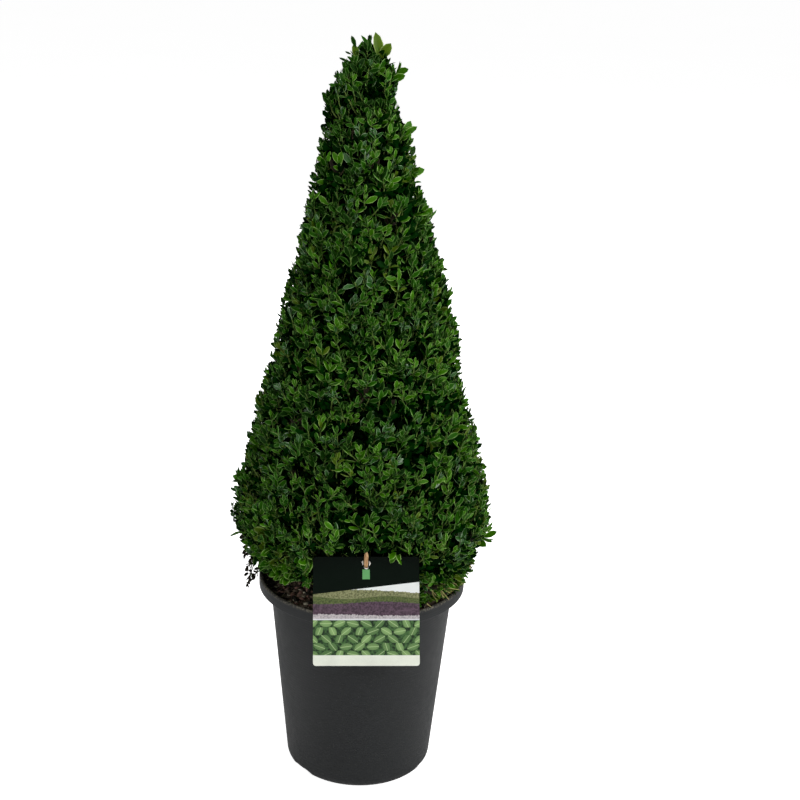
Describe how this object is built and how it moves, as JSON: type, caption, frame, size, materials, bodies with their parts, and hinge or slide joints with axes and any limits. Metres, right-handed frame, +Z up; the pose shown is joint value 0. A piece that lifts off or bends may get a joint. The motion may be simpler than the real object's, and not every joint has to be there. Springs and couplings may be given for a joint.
{
  "type": "boxwood cone topiary",
  "caption": "Clipped cone-shaped evergreen shrub with small glossy leaves, growing in a round dark plastic nursery pot, with a blank-worded picture card on a wooden pick.",
  "frame": {"origin": "centre of the pot's flat underside", "axes": "+Z up along the stem, +X to the right and -Y towards the viewer of the side with the card"},
  "size_m": [0.3198, 0.2916, 0.879],
  "materials": {
    "pot_plastic": "satin charcoal injection-moulded plastic with fine scuffs",
    "potting_soil": "moist dark mulch of peat and bark bits",
    "stem_bark": "fissured grey-brown bark",
    "foliage": "glossy small oval leaves, mid to dark green with yellow-green young shoots",
    "card_print": "printed plastic card, softly glossy",
    "pick_wood": "bare split wood"
  },
  "bodies": {
    "root": {"pot": "pot_plastic", "soil": "potting_soil", "stem": "stem_bark", "crown": "foliage", "label_card": "card_print", "label_pick": "pick_wood"}
  },
  "joints": []
}
